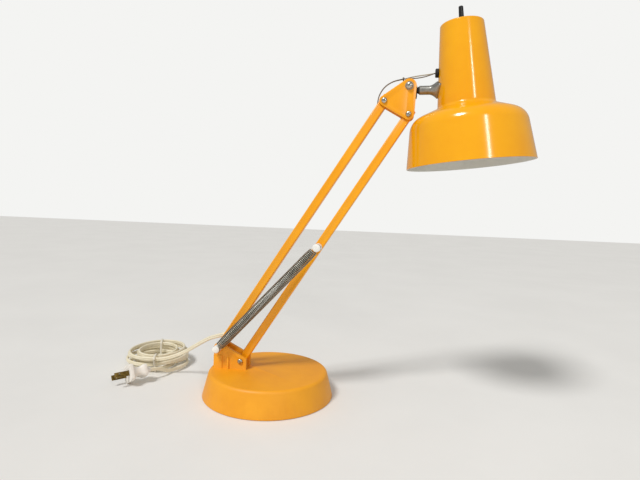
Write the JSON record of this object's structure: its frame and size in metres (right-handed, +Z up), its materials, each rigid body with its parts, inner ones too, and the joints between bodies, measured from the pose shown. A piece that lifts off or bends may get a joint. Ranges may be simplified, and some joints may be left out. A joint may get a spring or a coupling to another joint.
{
  "type": "desk lamp",
  "caption": "Desk lamp with a weighted round base, two parallel arms with a balance spring, and a stepped bell shade with a turn switch on its top.",
  "frame": {"origin": "middle of the base's underside, on the surface that the lamp stands on", "axes": "+Z up, +X the way the arms lean and the shade hangs, +Y away from the side that carries the balance spring"},
  "size_m": [0.5219, 0.193, 0.4627],
  "materials": {
    "shade_enamel": "gloss",
    "frame_enamel": "satin",
    "base_plastic": "matte",
    "weight_iron": "matte",
    "pad_felt": "matte",
    "plated_steel": "satin",
    "spring_steel": "satin",
    "white_nylon": "satin",
    "grey_casting": "satin",
    "black_steel": "satin",
    "black_plastic": "satin",
    "black_rubber": "matte",
    "brass": "satin",
    "cream_vinyl": "satin",
    "pale_vinyl": "satin",
    "grey_vinyl": "satin",
    "tie_plastic": "satin"
  },
  "bodies": {
    "base": {"base_shell": "base_plastic", "base_weight": "weight_iron", "base_screws": "plated_steel", "base_pad": "pad_felt", "front_pivot_screw": "plated_steel", "front_pivot_nut": "plated_steel", "rear_pivot_pin": "plated_steel", "rear_pivot_nut": "plated_steel", "cord_lead": "cream_vinyl", "cord_coil": "cream_vinyl", "cord_tail": "cream_vinyl", "cord_ties": "tie_plastic", "plug_body": "pale_vinyl", "plug_blades": "brass"},
    "rear_arm": {"rear_arm": "frame_enamel", "rear_arm_bushes": "white_nylon", "cord_bush": "cream_vinyl", "arm_lead": "grey_vinyl"},
    "front_arm": {"front_arm": "frame_enamel", "front_arm_bushes": "white_nylon", "spring_stud": "plated_steel", "spring_upper_spool": "white_nylon"},
    "head": {"near_head_plate": "frame_enamel", "far_head_plate": "frame_enamel", "head_screws": "plated_steel", "head_nuts": "plated_steel", "tilt_bolt": "plated_steel", "tilt_washers": "black_steel", "tilt_nut": "plated_steel", "head_lead": "grey_vinyl", "lead_tie": "grey_vinyl"},
    "tilt_block": {"tilt_block": "black_steel", "swivel_washer": "black_plastic"},
    "shade": {"knuckle": "grey_casting", "knuckle_screw": "plated_steel", "shade": "shade_enamel", "neck_grommet": "black_rubber", "lampholder": "black_plastic", "screw_shell": "brass", "centre_contact": "brass", "switch_nipple": "plated_steel", "ring_nut": "plated_steel"},
    "switch_knob": {"switch_knob": "black_plastic"},
    "spring_eye": {"spring_lower_spool": "white_nylon"},
    "spring": {"counter_spring": "spring_steel"}
  },
  "joints": [
    {"name": "arm_lift", "type": "hinge", "parent": "base", "child": "rear_arm", "pos_m": [-0.06159, 0, 0.05572], "axis": [0, -1, 0], "range_deg": [-40, 12], "deforming": ["counter_spring", "head_lead", "cord_lead"]},
    {"name": "front_arm_swing", "type": "hinge", "parent": "base", "child": "front_arm", "pos_m": [-0.0335, 0, 0.0406], "axis": [0, -1, 0], "range_deg": [-40, 12]},
    {"name": "head_level", "type": "hinge", "parent": "rear_arm", "child": "head", "pos_m": [0.12844, 0, 0.35748], "axis": [0, -1, 0], "range_deg": [-12, 40], "deforming": ["head_lead"]},
    {"name": "head_tilt", "type": "hinge", "parent": "head", "child": "tilt_block", "pos_m": [0.15592, 0, 0.37395], "axis": [0, -1, 0], "range_deg": [-2, 80], "deforming": ["head_lead"]},
    {"name": "head_swivel", "type": "hinge", "parent": "tilt_block", "child": "shade", "pos_m": [0.156, 0, 0.37005], "axis": [0.9998, 0, 0.0202], "range_deg": [-90, 90], "deforming": ["head_lead"]},
    {"name": "switch_turn", "type": "hinge", "parent": "shade", "child": "switch_knob", "pos_m": [0.21008, 0, 0.44653], "axis": [-0.1089, 0, 0.9941], "continuous": true},
    {"name": "spring_swing", "type": "hinge", "parent": "base", "child": "spring_eye", "pos_m": [-0.06159, 0, 0.05572], "axis": [0, -1, 0], "range_deg": [-38, 12], "deforming": ["counter_spring"]},
    {"name": "spring_stretch", "type": "slide", "parent": "spring_eye", "child": "spring", "axis": [0.6767, 0, 0.7363], "range_m": [-0.008, 0.022], "deforming": ["counter_spring"]}
  ],
  "couplings": [
    {"joint": "front_arm_swing", "follows": "arm_lift", "ratio": 1},
    {"joint": "head_level", "follows": "arm_lift", "ratio": -1},
    {"joint": "spring_swing", "follows": "arm_lift", "ratio": 0.92},
    {"joint": "spring_stretch", "follows": "arm_lift", "m_per_rad": -0.0277}
  ]
}
